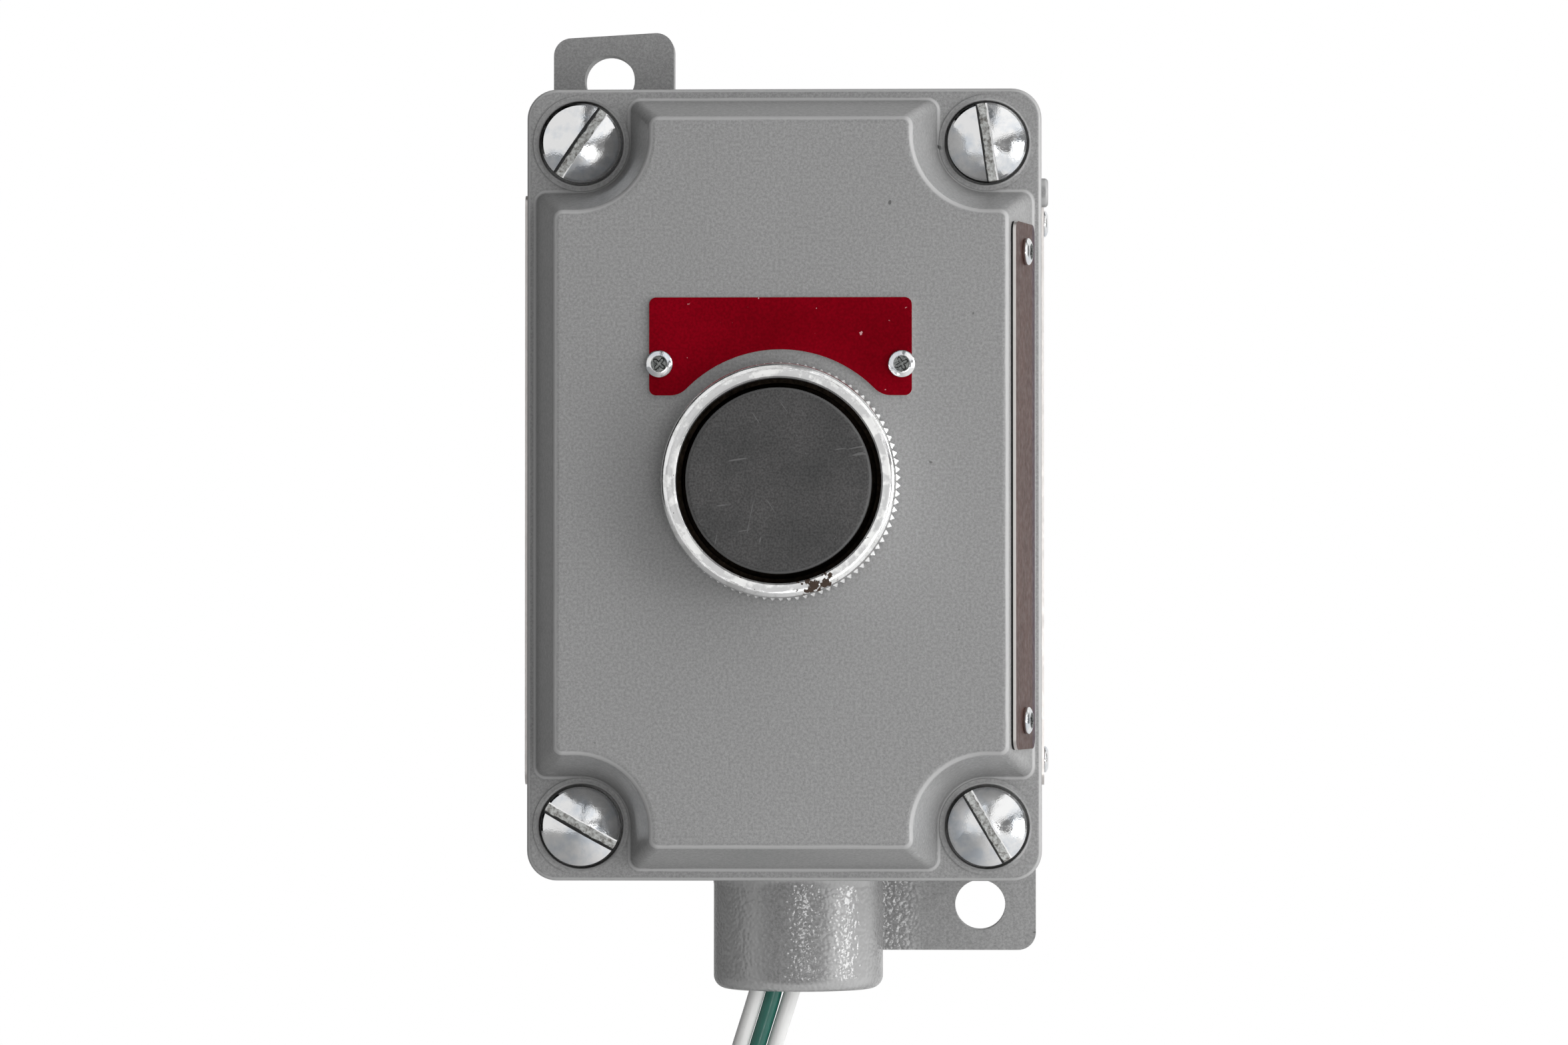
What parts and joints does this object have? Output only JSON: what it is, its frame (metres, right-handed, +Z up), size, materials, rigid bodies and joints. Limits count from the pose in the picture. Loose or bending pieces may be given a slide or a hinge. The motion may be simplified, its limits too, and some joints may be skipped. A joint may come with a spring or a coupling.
{
  "type": "explosion-proof push button switch",
  "caption": "Cast explosion-proof wall box with a domed bolted cover, a round momentary push button, a bottom conduit hub and three hanging leads.",
  "frame": {"origin": "midpoint between the two lug mounting holes, on the flat back that lies on the wall", "axes": "+Z up the wall, -Y out of the wall along the push button's axis, +X to the right as seen from the front"},
  "size_m": [0.0867, 0.0918, 0.316],
  "materials": {
    "grey_paint": "fine speckled satin enamel",
    "zinc_screw": "bright zinc, a little mottled",
    "plated_ring": "worn bright plating",
    "black_bushing": "blackened steel",
    "turned_brass": "as turned",
    "black_rubber": "matt",
    "black_button": "fine matt",
    "bright_steel": "zinc plated",
    "spring_steel": "drawn wire",
    "moulded_block": "brown-black phenolic moulding",
    "moulded_plunger": "dull moulded",
    "contact_copper": "bright copper with silver tips",
    "terminal_brass": "nickel washed",
    "red_plate": "red anodised",
    "brown_plate": "brown-grey etched",
    "drive_screw_steel": "bright",
    "green_screw": "green dyed zinc",
    "tinned_copper": "tinned",
    "white_insulation": "soft sheen",
    "green_insulation": "soft sheen"
  },
  "bodies": {
    "enclosure": {"body_casting": "grey_paint", "cover_casting": "grey_paint", "cover_screw_top_left": "zinc_screw", "cover_screw_top_right": "zinc_screw", "cover_screw_bottom_left": "zinc_screw", "cover_screw_bottom_right": "zinc_screw", "bezel_ring": "plated_ring", "operator_bushing": "black_bushing", "lock_nut": "turned_brass", "operator_gasket": "black_rubber", "ring_seal": "black_rubber", "mounting_strap": "bright_steel", "strap_screws": "bright_steel", "housing_screws": "bright_steel", "base_screws": "bright_steel", "terminal_screw_upper": "bright_steel", "terminal_screw_lower": "bright_steel", "return_spring": "spring_steel", "contact_spring": "spring_steel", "contact_housing": "moulded_block", "housing_base": "moulded_block", "fixed_contact_upper": "contact_copper", "fixed_contact_lower": "contact_copper", "terminal_clamp_upper": "terminal_brass", "terminal_clamp_lower": "terminal_brass", "red_nameplate": "red_plate", "dome_side_plate": "brown_plate", "left_body_plate": "brown_plate", "right_body_plate": "brown_plate", "red_plate_drive_screws": "drive_screw_steel", "dome_plate_drive_screws": "drive_screw_steel", "left_plate_drive_screws": "drive_screw_steel", "right_plate_drive_screws": "drive_screw_steel", "earth_screw": "green_screw", "earth_terminal": "tinned_copper", "lead_white_left": "white_insulation", "lead_white_right": "white_insulation", "lead_green": "green_insulation"},
    "button": {"button_cap": "black_button", "button_shaft": "bright_steel", "shaft_clip": "bright_steel"},
    "contact_carrier": {"contact_plunger": "moulded_plunger", "contact_bridge": "contact_copper"}
  },
  "joints": [
    {"name": "button_push", "type": "slide", "parent": "enclosure", "child": "button", "axis": [0, 1, 0], "range_m": [0, 0.0055], "stiffness_N_per_m": 1500, "springref_m": -0.004, "deforming": ["return_spring"]},
    {"name": "contact_push", "type": "slide", "parent": "enclosure", "child": "contact_carrier", "axis": [0, 1, 0], "range_m": [0, 0.0055], "stiffness_N_per_m": 200, "springref_m": -0.005, "deforming": ["contact_spring"]}
  ],
  "couplings": [
    {"joint": "contact_push", "follows": "button_push", "ratio": 1}
  ]
}
